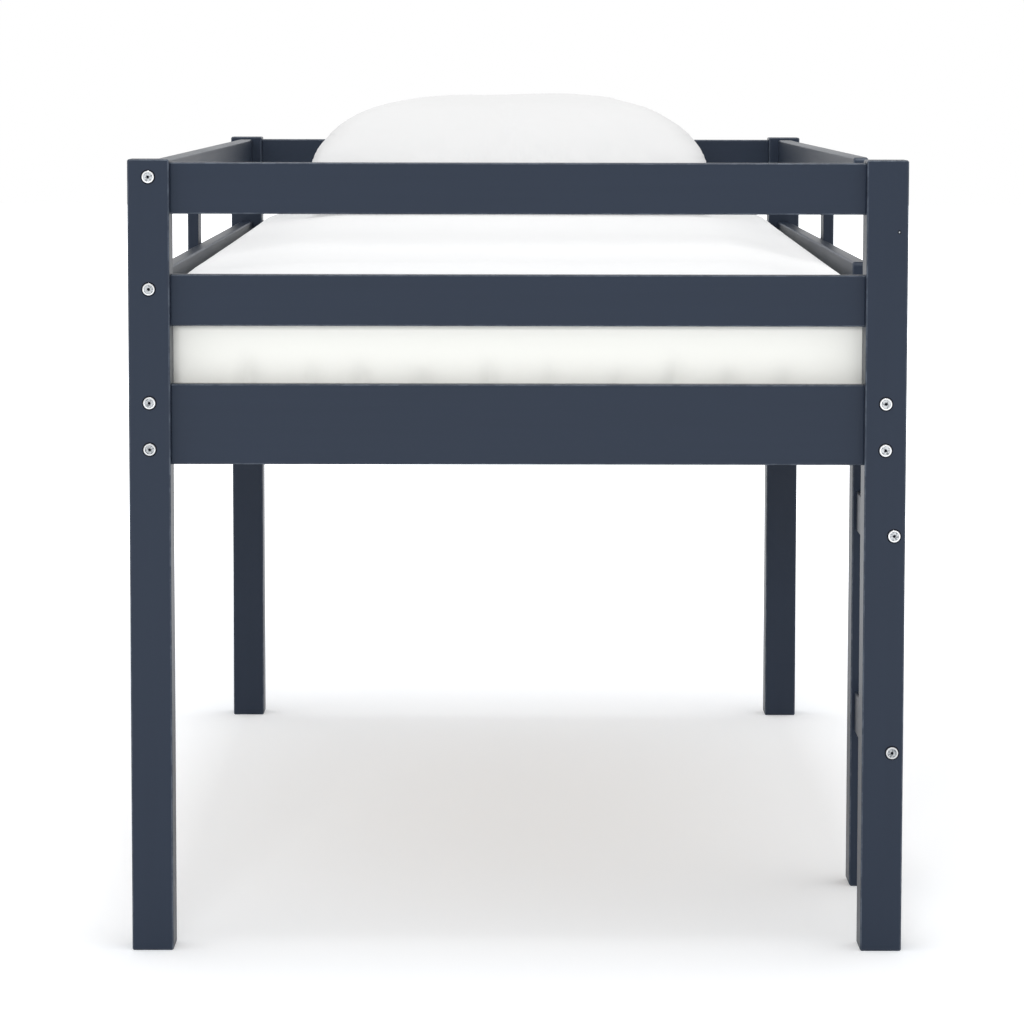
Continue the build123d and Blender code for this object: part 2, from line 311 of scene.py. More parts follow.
def strap_webbing():
    """Flat woven tape that runs along Y."""
    tape = finish("strap_webbing")
    picks = tape.node("ShaderNodeTexWave", {"bands_direction": "DIAGONAL"},
                      {"Vector": tape.place(), "Scale": 160.0, "Distortion": 0.6})
    cords = tape.node("ShaderNodeTexWave", {"bands_direction": "X"},
                      {"Vector": tape.place(), "Scale": 260.0})
    weave = picks * 0.6 + cords * 0.4
    tape.surface(
        Base_Color=tape.blend(weave, toned(WEBBING_TONE, 0.72), WEBBING_TONE),
        Roughness=0.85,
        Normal=tape.bump(weave, WEBBING_DEPTH, 0.8),
    )
    return tape.holder


def zinc_steel(name, tone, speck_share, gloss):
    """Zinc plate with turning marks, fine stains and darker specks. The gloss is its two roughnesses."""
    zinc = finish(name)
    stain = zinc.noise(zinc.place(), 420.0, 4.0, 0.65)
    speck = zinc.ramp(zinc.noise(zinc.place(), 460.0, 3.0, 0.6), 0.47, 0.60)
    brushed = zinc.noise(zinc.place((1, 1, 0.15)), 2600.0, 2.0)
    batch = zinc.ramp(zinc.noise(zinc.place(), 9.0, 0.0), 0.35, 0.65, 0.0, 0.6)
    plate = zinc.blend(stain * 0.4 + batch, toned(tone, 0.62), tone)
    zinc.surface(
        Base_Color=zinc.blend(speck * speck_share, plate, ZINC_SPECK_TONE),
        Metallic=1.0,
        Roughness=zinc.ramp(stain, 0.3, 0.7, *gloss),
        Normal=zinc.bump(brushed, ZINC_MARK_DEPTH, 0.35),
    )
    return zinc.holder


def painted_shade_finish():
    """Painted shade at the bottom of a socket, and a painted contact shadow round a screw's head."""
    shade_nodes = finish("painted_shade_finish")
    mottle = shade_nodes.noise(shade_nodes.place(), 900.0, 3.0)
    shade_nodes.surface(
        Base_Color=shade_nodes.blend(mottle, SHADE_AND_NICK_DARK_TONE, toned(SHADE_AND_NICK_DARK_TONE, 1.8)),
        Roughness=shade_nodes.ramp(mottle, 0.3, 0.7, 0.5, 0.7),
        Specular_IOR_Level=0.05,
        Normal=shade_nodes.bump(mottle, SHADE_MOTTLE_DEPTH, 0.5),
    )
    return shade_nodes.holder


def woven_cotton(name, tone, thread, side_tone=None, corner=None):
    """Plain white cloth: threads across and along, loose slubs and a soft nap. Its sides may be another
    white, and a corner is the X and Y that a fitted sheet's seams start from, with the corner's radius."""
    cloth = finish(name)
    spot = cloth.place()
    scale = 1 / (thread * 2 * pi)
    bands = [cloth.node("ShaderNodeTexWave", {"bands_direction": direction},
                        {"Vector": spot, "Scale": scale, "Distortion": 0.5, "Detail": 1.0})
             for direction in "XYZ"]
    weave = bands[0].math("MAXIMUM", bands[0] * bands[1], bands[2] * 0.8)
    slub = cloth.noise(cloth.place((1, 0.25, 1)), 260.0, 3.0)
    soft = cloth.noise(spot, 14.0, 3.0)
    normal = cloth.bump(soft, COTTON_NAP_DEPTH, 0.2)
    if corner:
        normal = cloth.bump(corner_seam(cloth, spot, *corner), CORNER_SEAM_HEIGHT, 0.8, normal)
    shade = cloth.blend(slub * 0.5 + soft * 0.5, (0.97, 0.97, 0.97), (1, 1, 1))
    if side_tone:
        facing = cloth.node("ShaderNodeNewGeometry", output="Normal")
        upward = cloth.node("ShaderNodeSeparateXYZ", inputs={"Vector": facing}, output="Z")
        tone = cloth.blend(cloth.ramp(upward, 0.35, 0.75), side_tone, tone)
    coloured = cloth.node("ShaderNodeMix", {"data_type": "RGBA", "blend_type": "MULTIPLY"},
                          {0: 1.0, 6: rgba(tone), 7: shade}, output=2)
    cloth.surface(
        Base_Color=coloured,
        Roughness=cloth.ramp(slub, 0.3, 0.7, 0.86, 0.94),
        Sheen_Weight=0.2,
        Sheen_Roughness=0.5,
        Normal=cloth.bump(weave * 0.6 + slub * 0.4, COTTON_THREAD_DEPTH, 0.5, normal),
    )
    return cloth.holder


def corner_seam(cloth, spot, reach_x, reach_y, radius):
    """The height of the sewn seam that runs down each corner of a fitted sheet, and of its stitches."""
    x, y, z = cloth.parts(spot)
    x = abs(x)
    y = abs(y)
    zone = cloth.ramp(x, reach_x - radius, reach_x - radius * 0.7)
    zone = zone * cloth.ramp(y, reach_y - radius, reach_y - radius * 0.7)
    aside = x - y + (reach_y - reach_x)
    ridge = cloth.ramp(abs(aside), *CORNER_SEAM_REACH)
    row = cloth.ramp(abs(aside - STITCH_ASIDE), *STITCH_REACH)
    step = z * (1 / STITCH_PITCH)
    stitch = cloth.ramp(step.math("FRACT", step), 0.75, 0.6)
    return zone * (ridge + row * stitch * 0.4)


def ticking():
    """Quilted knit on the mattress's underside, inside the sheet's hem."""
    knit = finish("mattress_ticking")
    spot = knit.place()
    bands = [knit.node("ShaderNodeTexWave", {"bands_direction": "X"},
                       {"Vector": knit.node("ShaderNodeVectorRotate", {"rotation_type": "Z_AXIS"},
                                            {"Vector": spot, "Angle": turn}), "Scale": 3.6})
             for turn in (pi / 4, -pi / 4)]
    quilt = bands[0].math("MINIMUM", bands[0], bands[1])
    loops = knit.noise(spot, 900.0, 2.0)
    knit.surface(
        Base_Color=knit.blend(loops, toned(TICKING_TONE, 0.9), TICKING_TONE),
        Roughness=knit.ramp(loops, 0.3, 0.7, 0.85, 0.95),
        Normal=knit.bump(loops, KNIT_DEPTH, 0.5, knit.bump(quilt, QUILT_DEPTH, 0.5)),
    )
    return knit.holder


painted = [painted_wood(axis) for axis in range(3)]
pine = slat_pine()
webbing = strap_webbing()
# Lit and shaded copies of one zinc: the near white one paints the rims' highlight and also coats the wood
# screws and staples; the darker one, with real specks, paints shade on the disc and socket walls
zinc = zinc_steel("zinc_painted_highlight", ZINC_HIGHLIGHT_TONE, 0.0, (0.22, 0.34))
zinc_shaded_specked = zinc_steel("zinc_shaded_specked", ZINC_SHADED_TONE, 0.8, (0.30, 0.45))
# Near black finish: painted shade in sockets and a painted contact shadow round screw heads
painted_shade = painted_shade_finish()

# The mattress's corners in plan, which the sheet's seams follow
MATTRESS_CORNER = 22.0 * mm
mattress_low, mattress_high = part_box("mattress")
sheet_cotton = woven_cotton("mattress_cover", SHEET_TONE, SHEET_THREAD, SHEET_SIDE_TONE,
                            (mattress_high.x, mattress_high.y, MATTRESS_CORNER))
mattress_ticking = ticking()
pillow_cotton = woven_cotton("pillow_cotton", PILLOW_TONE, PILLOW_THREAD)


def dress(node, material):
    """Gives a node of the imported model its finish."""
    slots = node.material_slots
    if not slots:
        node.data.materials.append(material)
    for slot in slots:
        slot.material = material


ALONG_X = ("foot_", "head_")
ALONG_Y = ("side_rail", "guard_upper", "guard_lower", "ladder_rung")
ALONG_Z = ("post_", "guard_upright", "ladder_stile")
for name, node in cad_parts.items():
    if name.startswith(ALONG_X):
        dress(node, painted[0])
    elif name.startswith(ALONG_Y):
        dress(node, painted[1])
    elif name.startswith(ALONG_Z):
        dress(node, painted[2])
    elif name.startswith("slat_strap"):
        dress(node, webbing)
    elif name.startswith("slat_"):
        dress(node, pine)
    elif name == "connector_screws":
        dress(node, zinc)
    elif name == "mattress":
        dress(node, sheet_cotton)
    else:
        dress(node, pillow_cotton)


# Camera, floor and light


def set_camera():
    data = bpy.data.cameras.new("camera")
    data.lens = CAMERA_LENS
    data.sensor_width = CAMERA_SENSOR
    data.shift_y = CAMERA_SHIFT
    data.clip_end = CAMERA_FAR
    camera = bpy.data.objects.new("camera", data)
    scene.collection.objects.link(camera)
    turn = Matrix.Rotation(CAMERA_PAN, 4, "Z") @ Matrix.Rotation(pi / 2 - CAMERA_TILT, 4, "X")
    camera.matrix_world = Matrix.Translation(CAMERA_PLACE) @ turn @ Matrix.Rotation(CAMERA_ROLL, 4, "Z")
    scene.camera = camera


def add_lamps():
    for name, (place, aim, across, along, power) in LAMPS.items():
        data = bpy.data.lights.new(name, "AREA")
        data.shape = "RECTANGLE"
        data.size = across
        data.size_y = along
        data.energy = power
        lamp = bpy.data.objects.new(name, data)
        scene.collection.objects.link(lamp)
        lamp.location = place
        lamp.visible_glossy = name not in UNREFLECTED_LAMPS
        lamp.rotation_euler = (Vector(aim) - Vector(place)).to_track_quat("-Z", "Y").to_euler()


def set_world():
    """A plain level of light all round, seen as white by the camera and in reflections."""
    world = Finish(bpy.data.worlds.new("world"))
    scene.world = world.holder
    straight, reflected, through = world.rays()
    shown = straight.math("MAXIMUM", straight, straight.math("MAXIMUM", reflected, through))
    level = shown * (1 - AMBIENT_LEVEL) + AMBIENT_LEVEL
    light = world.node("ShaderNodeBackground", inputs={"Color": (1, 1, 1, 1), "Strength": level})
    world.node("ShaderNodeOutputWorld", inputs={"Surface": light})


def add_floor():
    """A white floor that keeps the bed's shadow."""
    bpy.ops.mesh.primitive_plane_add(size=FLOOR_SIZE, location=(0, 0, 0))
    floor = bpy.context.object
    floor.name = "floor"
    white = finish("floor_white")
    straight, reflected, through = white.rays()
    shown = straight + reflected * FLOOR_GLOSS_SHARE + through
    reach = white.node("ShaderNodeVectorMath", {"operation": "LENGTH"}, {0: white.place()}, output="Value")
    glow = white.ramp(reach, FLOOR_NEAR_RADIUS, FLOOR_FAR_RADIUS, FLOOR_GLOW, FLOOR_FAR_GLOW)
    speck = white.noise(white.place(), 40.0)
    tone = white.blend(speck, toned(FLOOR_TONE, 0.99), FLOOR_TONE)
    matt = white.node("ShaderNodeBsdfDiffuse", inputs={"Color": tone})
    glow = white.node("ShaderNodeEmission", inputs={"Color": (1, 1, 1, 1), "Strength": shown * glow})
    both = white.node("ShaderNodeAddShader", inputs={0: matt, 1: glow})
    white.node("ShaderNodeOutputMaterial", inputs={"Surface": both})
    floor.data.materials.append(white.holder)


scene.view_settings.view_transform = "Standard"
set_camera()
add_lamps()
set_world()
add_floor()
bpy.ops.object.select_all(action="DESELECT")


# Modelling by hand

# How near counts as touching, and how far a face's normal has to point up or down
TOUCH = 0.01 * mm
FACING = 0.9


def deselect():
    """Leaves edit mode and selects nothing."""
    if bpy.context.object and bpy.context.object.mode == "EDIT":
        bpy.ops.object.mode_set(mode="OBJECT")
    bpy.ops.object.select_all(action="DESELECT")


def take_up(piece):
    """Selects one piece alone and makes it the active one."""
    deselect()
    bpy.context.view_layer.objects.active = piece
    piece.select_set(True)


def edit(piece):
    """Opens a piece for editing with nothing selected."""
    take_up(piece)
    bpy.ops.object.mode_set(mode="EDIT")
    bpy.ops.mesh.select_all(action="DESELECT")


def looks_up(face):
    return face.normal.z > FACING


def looks_down(face):
    return face.normal.z < -FACING


def pick(piece, chosen, kind="faces"):
    """Selects the faces or edges that a test on them chooses."""
    bpy.ops.mesh.select_mode(type={"faces": "FACE", "edges": "EDGE"}[kind])
    bpy.ops.mesh.select_all(action="DESELECT")
    mesh = bmesh.from_edit_mesh(piece.data)
    for part in getattr(mesh, kind):
        part.select_set(bool(chosen(part)))
    mesh.select_flush_mode()
    bmesh.update_edit_mesh(piece.data)


def apply_modifier(piece, modifier):
    take_up(piece)
    bpy.ops.object.modifier_apply(modifier=modifier.name)
    piece.select_set(False)


def modify(piece, kind, **settings):
    """Gives a piece a modifier with these settings and applies it."""
    modifier = piece.modifiers.new(kind.lower(), kind)
    for name, value in settings.items():
        setattr(modifier, name, value)
    apply_modifier(piece, modifier)


def settle(piece):
    """Puts a piece's place into its mesh."""
    take_up(piece)
    bpy.ops.object.transform_apply(location=True, rotation=True, scale=True)
    piece.select_set(False)


def shade(piece, angle):
    """Smooth shading up to an angle in degrees."""
    take_up(piece)
    bpy.ops.object.shade_smooth_by_angle(angle=radians(angle))
    piece.select_set(False)
    return piece


def coat(piece, *materials):
    """Gives a piece its materials, in the order of its faces' numbers."""
    while len(piece.data.materials) < len(materials):
        piece.data.materials.append(None)
    for number, material in enumerate(materials):
        piece.data.materials[number] = material


def copies(master, name, places, materials, body, node=None):
    """Sets a copy of a modelled piece, with its own mesh, at each place."""
    for number, place in enumerate(places, 1):
        piece = bpy.data.objects.new(f"{name}_{number:02d}", master.data.copy())
        scene.collection.objects.link(piece)
        piece.data.transform(place)
        coat(piece, *materials)
        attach(piece, body)
        if node:
            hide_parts(node)
    bpy.data.objects.remove(master)


# Connector screws

SCREW_HEAD_RADIUS = 8.5 * mm
SCREW_HEAD_HEIGHT = 2.6 * mm
SCREW_RIM_WIDTH = 2.1 * mm
SCREW_RIM_ROUND = 1.2 * mm
SCREW_DISH_SLOPE = 0.6 * mm
SCREW_DISH = 0.7 * mm
SCREW_DISC_WIDTH = 3.2 * mm
SCREW_SOCKET_WIDTH = 4.0 * mm
SCREW_SOCKET_CORNER = SCREW_SOCKET_WIDTH * 0.58
SCREW_SOCKET_DEPTH = 3.0 * mm
SCREW_SOCKET_POINT = 1.6 * mm
SCREW_SHANK_RADIUS = 3.0 * mm
SCREW_SHANK = 95.0 * mm
SCREW_SEAT_WIDTH = 1.5 * mm
SCREW_SEAT_HEIGHT = 0.3 * mm
SCREW_WALL_SLACK = 0.1 * mm
SCREW_DISC_SLACK = 0.2 * mm
SCREW_SIDES = 48
BED_SCREW_DROPS = (25.0 * mm, 89.0 * mm)
GUARD_SCREW_DROPS = (19.6 * mm,)
RUNG_SCREW_DROPS = (16.5 * mm,)
GOLDEN_TURN = radians(137.5)


def on_rim(edge):
    """Whether an edge runs round the top of the head's outer wall."""
    return all(vert.co.z > SCREW_HEAD_HEIGHT - TOUCH
               and vert.co.xy.length > SCREW_HEAD_RADIUS - SCREW_WALL_SLACK
               for vert in edge.verts)


def sink_socket(screw):
    """Makes the selected middle of the disc a hexagon and sinks it to a point."""
    mesh = bmesh.from_edit_mesh(screw.data)
    middle = next(face for face in mesh.faces if face.select)
    for vert in middle.verts:
        turn = np.arctan2(vert.co.y, vert.co.x)
        reach = SCREW_SOCKET_WIDTH / 2 / cos((turn + pi / 6) % (pi / 3) - pi / 6)
        vert.co.xy = reach * cos(turn), reach * sin(turn)
    bmesh.update_edit_mesh(screw.data)
    bpy.ops.mesh.extrude_region_move(TRANSFORM_OT_translate={"value": (0, 0, -SCREW_SOCKET_DEPTH)})
    bpy.ops.mesh.extrude_region_move(TRANSFORM_OT_translate={"value": (0, 0, -SCREW_SOCKET_POINT)})
    bpy.ops.mesh.merge(type="CENTER")


def colour_screw(screw):
    """The rim in near white zinc, a painted highlight; what lies further in in darker, specked zinc, painted
    shade; and the pointed bottom of the socket near black, painted shade.
    """
    coat(screw, zinc, zinc_shaded_specked, painted_shade)
    disc = SCREW_HEAD_RADIUS - SCREW_RIM_WIDTH - SCREW_DISC_SLACK
    bottom = SCREW_HEAD_HEIGHT - SCREW_DISH - SCREW_SOCKET_DEPTH
    for face in screw.data.polygons:
        aside = face.center.xy.length
        sunk = -SCREW_SHANK / 2 < face.center.z < bottom and aside < SCREW_SOCKET_CORNER
        face.material_index = 2 if sunk else int(aside < disc)


def model_connector_screw():
    """A round head with a thick rim, a dished disc and a hexagon socket, standing on z = 0 in a thin dark
    ring of painted contact shadow, and its shank below."""
    deselect()
    bpy.ops.mesh.primitive_cylinder_add(vertices=SCREW_SIDES, radius=SCREW_HEAD_RADIUS,
                                        depth=SCREW_HEAD_HEIGHT, location=(0, 0, SCREW_HEAD_HEIGHT / 2))
    screw = bpy.context.object
    settle(screw)
    edit(screw)
    pick(screw, looks_down)
    bpy.ops.mesh.inset(thickness=SCREW_HEAD_RADIUS - SCREW_SHANK_RADIUS, depth=0)
    bpy.ops.mesh.extrude_region_move(TRANSFORM_OT_translate={"value": (0, 0, -SCREW_SHANK)})
    pick(screw, looks_up)
    bpy.ops.mesh.inset(thickness=SCREW_RIM_WIDTH, depth=0)
    bpy.ops.mesh.inset(thickness=SCREW_DISH_SLOPE, depth=-SCREW_DISH)
    bpy.ops.mesh.inset(thickness=SCREW_DISC_WIDTH, depth=0)
    sink_socket(screw)
    pick(screw, on_rim, "edges")
    bpy.ops.mesh.bevel(offset=SCREW_RIM_ROUND, segments=5, affect="EDGES")
    bpy.ops.mesh.select_all(action="SELECT")
    bpy.ops.mesh.normals_make_consistent(inside=False)
    deselect()
    colour_screw(screw)
    add_seat(screw)
    return shade(screw, 28)


def add_seat(screw):
    """The thin dark ring round the head: a painted contact shadow."""
    deselect()
    bpy.ops.mesh.primitive_cylinder_add(vertices=SCREW_SIDES, radius=SCREW_HEAD_RADIUS + SCREW_SEAT_WIDTH,
                                        depth=SCREW_SEAT_HEIGHT, location=(0, 0, SCREW_SEAT_HEIGHT / 2))
    seat = bpy.context.object
    settle(seat)
    edit(seat)
    pick(seat, lambda edge: all(vert.co.z > TOUCH for vert in edge.verts), "edges")
    bpy.ops.mesh.bevel(offset=SCREW_SEAT_HEIGHT * 0.6, segments=2, affect="EDGES")
    deselect()
    coat(seat, zinc, zinc_shaded_specked, painted_shade)
    # Every face of the ring gets the near black finish: a painted contact shadow
    for face in seat.data.polygons:
        face.material_index = 2
    seat.select_set(True)
    screw.select_set(True)
    bpy.context.view_layer.objects.active = screw
    bpy.ops.object.join()


def outward(x, y, z, end, spin):
    """A place whose own +z is +Y for the head end, 1, and -Y for the foot end, -1."""
    return (Matrix.Translation((x, y, z)) @ Matrix.Rotation(-end * pi / 2, 4, "X")
            @ Matrix.Rotation(spin, 4, "Z"))


def connector_screw_places():
    """On the outer end faces of the posts, and on the stile's back for the rungs."""
    foot_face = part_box("post_front_left")[0].y
    head_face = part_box("post_back_left")[1].y
    stile_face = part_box("ladder_stile")[1].y
    members = [
        ("side_rail_left", BED_SCREW_DROPS, (foot_face, head_face)),
        ("side_rail_right", BED_SCREW_DROPS, (foot_face, head_face)),
        ("guard_upper_left", GUARD_SCREW_DROPS, (foot_face, head_face)),
        ("guard_lower_left", GUARD_SCREW_DROPS, (foot_face, head_face)),
        ("guard_upper_right", GUARD_SCREW_DROPS, (head_face,)),
        ("guard_lower_right", GUARD_SCREW_DROPS, (head_face,)),
        ("ladder_rung_upper", RUNG_SCREW_DROPS, (foot_face, stile_face)),
        ("ladder_rung_lower", RUNG_SCREW_DROPS, (foot_face, stile_face)),
    ]
    places = []
    for member, drops, faces in members:
        low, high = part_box(member)
        for drop in drops:
            for y in faces:
                end = -1 if y == foot_face else 1
                spin = GOLDEN_TURN * len(places)
                places.append(outward((low.x + high.x) / 2, y, high.z - drop, end, spin))
    return places


copies(model_connector_screw(), "connector_screw", connector_screw_places(), (zinc, zinc_shaded_specked, painted_shade),
       "frame", "connector_screws")


# Wood screws

WOOD_SCREW_RADIUS = 4.0 * mm
WOOD_SCREW_HEAD = 1.4 * mm
WOOD_SCREW_PROUD = 0.2 * mm
WOOD_SCREW_EDGE = 0.3 * mm
WOOD_SCREW_TAPER = 0.55
WOOD_SCREW_SPACING = 28.0 * mm
SLAT_SCREW_SUNK = 0.1 * mm
CROSS_LENGTH = 4.6 * mm
CROSS_WIDTH = 0.9 * mm
LEDGER_SCREW_PITCH = 295.0 * mm
LEDGER_SCREW_COUNT = 6
SLAT_COUNT = 13
END_SCREW_INSET = 13.0 * mm


def model_wood_screw():
    """The flat head of a countersunk screw, with a cross recess, a little proud of z = 0."""
    deselect()
    middle = WOOD_SCREW_PROUD - WOOD_SCREW_HEAD / 2
    bpy.ops.mesh.primitive_cylinder_add(vertices=32, radius=WOOD_SCREW_RADIUS, depth=WOOD_SCREW_HEAD,
                                        location=(0, 0, middle))
    screw = bpy.context.object
    settle(screw)
    edit(screw)
    pick(screw, lambda edge: all(vert.co.z > 0 for vert in edge.verts), "edges")
    bpy.ops.mesh.bevel(offset=WOOD_SCREW_EDGE, segments=2, affect="EDGES")
    pick(screw, looks_down)
    bpy.ops.transform.resize(value=(WOOD_SCREW_TAPER, WOOD_SCREW_TAPER, 1))
    deselect()
    for turn in (0, pi / 2):
        bpy.ops.mesh.primitive_cube_add(size=1, location=(0, 0, WOOD_SCREW_PROUD), rotation=(0, 0, turn))
        cutter = bpy.context.object
        cutter.scale = (CROSS_LENGTH, CROSS_WIDTH, WOOD_SCREW_HEAD)
        settle(cutter)
        modify(screw, "BOOLEAN", operation="DIFFERENCE", object=cutter)
        bpy.data.objects.remove(cutter)
    return shade(screw, 30)


def inward(x, y, z, side, spin):
    """A place whose own +z points to the middle of the bed from the right side, 1, or the left, -1."""
    return (Matrix.Translation((x, y, z)) @ Matrix.Rotation(-side * pi / 2, 4, "Y")
            @ Matrix.Rotation(spin, 4, "Z"))


def add_lap_screws(places):
    """Pairs through the rails into the uprights and the stile."""
    laps = {
        "guard_upright_left": ("left", -1),
        "guard_upright_right": ("right", 1),
        "ladder_stile": ("right", 1),
    }
    for upright, (side_name, side) in laps.items():
        low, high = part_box(upright)
        y = (low.y + high.y) / 2
        for member in ("guard_upper_", "guard_lower_", "side_rail_"):
            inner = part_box(member + side_name)
            x = inner[0].x if side > 0 else inner[1].x
            z = (inner[0].z + inner[1].z) / 2
            for step in (-0.5, 0.5):
                spin = GOLDEN_TURN * len(places)
                places.append(inward(x, y + step * WOOD_SCREW_SPACING, z, side, spin))


def add_ledger_screws(places):
    """A row along each ledger."""
    for side_name, side in (("left", -1), ("right", 1)):
        low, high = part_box("slat_ledger_" + side_name)
        x = low.x if side > 0 else high.x
        for number in range(LEDGER_SCREW_COUNT):
            y = LEDGER_SCREW_PITCH * (number - (LEDGER_SCREW_COUNT - 1) / 2)
            places.append(inward(x, y, (low.z + high.z) / 2, side, GOLDEN_TURN * len(places)))


def add_slat_screws(places):
    """A pair at each end of the first and the last slat."""
    for number in (1, SLAT_COUNT):
        low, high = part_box(f"slat_{number:02d}")
        for side in (-1, 1):
            for step in (-0.5, 0.5):
                x = side * (high.x - END_SCREW_INSET)
                y = (low.y + high.y) / 2 + step * WOOD_SCREW_SPACING
                turn = Matrix.Rotation(GOLDEN_TURN * len(places), 4, "Z")
                places.append(Matrix.Translation((x, y, high.z - SLAT_SCREW_SUNK)) @ turn)


def wood_screw_places():
    """Each screw is turned on from the one before it, so the order counts."""
    places = []
    add_lap_screws(places)
    add_ledger_screws(places)
    add_slat_screws(places)
    return places


copies(model_wood_screw(), "wood_screw", wood_screw_places(), (zinc,), "frame")


# Staples

STAPLE_WIDTH = 11.0 * mm
STAPLE_WIRE = 0.9 * mm
STAPLE_LEG = 5.0 * mm
STAPLE_ASKEW = 0.12
STAPLE_ASKEW_STEP = 3.7


def model_staple():
    """A wire staple under z = 0, its crown along X and its legs up into the wood."""
    deselect()
    bpy.ops.mesh.primitive_cube_add(size=1, location=(0, 0, -STAPLE_WIRE / 2))
    staple = bpy.context.object
    staple.scale = (STAPLE_WIDTH, STAPLE_WIRE, STAPLE_WIRE)
    settle(staple)
    edit(staple)
    leg = STAPLE_WIDTH / 2 - STAPLE_WIRE
    for side in (-1, 1):
        bpy.ops.mesh.select_all(action="SELECT")
        bpy.ops.mesh.bisect(plane_co=(side * leg, 0, 0), plane_no=(1, 0, 0))
    pick(staple, lambda face: looks_up(face) and abs(face.calc_center_median().x) > leg)
    bpy.ops.mesh.extrude_region_move(TRANSFORM_OT_translate={"value": (0, 0, STAPLE_LEG)})
    pick(staple, lambda edge: all(vert.co.z < -0.5 * STAPLE_WIRE for vert in edge.verts), "edges")
    bpy.ops.mesh.bevel(offset=STAPLE_WIRE * 0.3, segments=2, affect="EDGES")
    deselect()
    return shade(staple, 40)


def staple_places():
    """Under each crossing of a strap and a slat, a little askew."""
    places = []
    for strap in ("slat_strap_left", "slat_strap_right"):
        low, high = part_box(strap)
        for number in range(1, SLAT_COUNT + 1):
            slat_low, slat_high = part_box(f"slat_{number:02d}")
            askew = STAPLE_ASKEW * sin(STAPLE_ASKEW_STEP * len(places))
            place = ((low.x + high.x) / 2, (slat_low.y + slat_high.y) / 2, low.z)
            places.append(Matrix.Translation(place) @ Matrix.Rotation(askew, 4, "Z"))
    return places


copies(model_staple(), "strap_staple", staple_places(), (zinc,), "frame")


# Soft pieces

MATTRESS_VOXEL = 12.0 * mm
MATTRESS_SMOOTHING = 1
MATTRESS_SWELL = 5.0 * mm
PILLOW_VOXEL = 6.0 * mm
PILLOW_SMOOTHING = 12
PILLOW_SWELL = 6.0 * mm
CLOTH_PRESSURE = 4.0
CLOTH_STEPS = 20
NEARLY_ZERO = 1e-9


def copy_of(node, name):
    """A new piece with a node's mesh, its loose triangles merged."""
    piece = bpy.data.objects.new(name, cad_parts[node].data.copy())
    scene.collection.objects.link(piece)
    mesh = bmesh.new()
    mesh.from_mesh(piece.data)
    bmesh.ops.remove_doubles(mesh, verts=mesh.verts, dist=TOUCH)
    bmesh.ops.recalc_face_normals(mesh, faces=mesh.faces)
    mesh.to_mesh(piece.data)
    mesh.free()
    return piece


def remesh(piece, voxel, smoothing):
    """Gives a piece an even mesh and softens it."""
    modify(piece, "REMESH", mode="VOXEL", voxel_size=voxel)
    soften(piece, smoothing)


def soften(piece, passes):
    """Evens out the small steps of a mesh."""
    modify(piece, "SMOOTH", factor=0.5, iterations=passes)


def rows(piece, kind):
    """What a mesh's points say of one kind, one row each."""
    flat = np.zeros(len(piece.data.vertices) * 3)
    piece.data.vertices.foreach_get(kind, flat)
    return flat.reshape(-1, 3)


def spots(piece):
    """The places of a mesh's points."""
    return rows(piece, "co")


def directions(piece):
    """The normals of a mesh's points."""
    return rows(piece, "normal")


def move_spots(piece, places):
    piece.data.vertices.foreach_set("co", places.ravel())
    piece.data.update()


def puff(piece, cap):
    """No point moves further than the cap."""
    start = spots(piece)
    cloth = piece.modifiers.new("cloth", "CLOTH")
    cloth.settings.quality = 5
    cloth.settings.use_pressure = True
    cloth.settings.uniform_pressure_force = CLOTH_PRESSURE
    cloth.settings.effector_weights.gravity = 0
    for step in range(1, CLOTH_STEPS + 1):
        scene.frame_set(step)
    apply_modifier(piece, cloth)
    scene.frame_set(1)
    moved = spots(piece) - start
    reach = np.linalg.norm(moved, axis=1, keepdims=True)
    move_spots(piece, start + moved * np.minimum(1, cap / np.maximum(reach, NEARLY_ZERO)))


def subdivide(piece):
    """Splits each face in four and shades the piece smooth."""
    modify(piece, "SUBSURF", levels=1, render_levels=1)
    piece.data.shade_smooth()


def waves(places, length, seed):
    """Soft noise of about -1 to 1 at each place. The length is a wave's, or one for each axis."""
    scaled = places / np.array(length) + seed
    return np.array([noise.noise(Vector(place)) for place in scaled]) * 2


def step_up(values, start, end):
    """A smooth step from 0 at start to 1 at end."""
    share = np.clip((values - start) / (end - start), 0, 1)
    return share * share * (3 - 2 * share)


def fit(piece, low, high):
    """Fits a piece's own box to the box between two corners."""
    places = spots(piece)
    start, end = places.min(0), places.max(0)
    low, high = np.array(low), np.array(high)
    move_spots(piece, low + (places - start) / (end - start) * (high - low))


def finish_soft(piece, node, slot, fill, *materials):
    """Puts a soft piece in the place of its node."""
    coat(piece, *materials)
    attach(piece, node)
    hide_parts(node)


# Mattress in its fitted sheet

MATTRESS_SHOULDER = 53.0 * mm
MATTRESS_FOOT = 14.0 * mm
MATTRESS_START = 4.0 * mm
CROWN_RISE = 10.0 * mm
CROWN_START = 56.0 * mm
CROWN_REACH = 135.0 * mm
CORNER_DROOP = 6.0 * mm
CORNER_DROOP_REACH = 110.0 * mm
SIDE_SAGS = (9.0 * mm, 18.0 * mm)
SAG_REACH = (45.0 * mm, 190.0 * mm)
SAG_HEAD = 600.0 * mm
SHEET_LINE_LENGTHS = (70.0 * mm, 420.0 * mm, 200.0 * mm)
SHEET_LINE_HEIGHT = 0.7 * mm
SHEET_WAVE_LENGTH = 260.0 * mm
SHEET_WAVE_HEIGHT = 1.0 * mm
SHEET_SETTLE = 0.8 * mm
SHEET_FLAT_RIM = (50.0 * mm, 150.0 * mm)
UNDER_PILLOW_Y = (380.0 * mm, 560.0 * mm)
UNDER_PILLOW_RIM = (60.0 * mm, 160.0 * mm)
PUCKER_SEED = 11
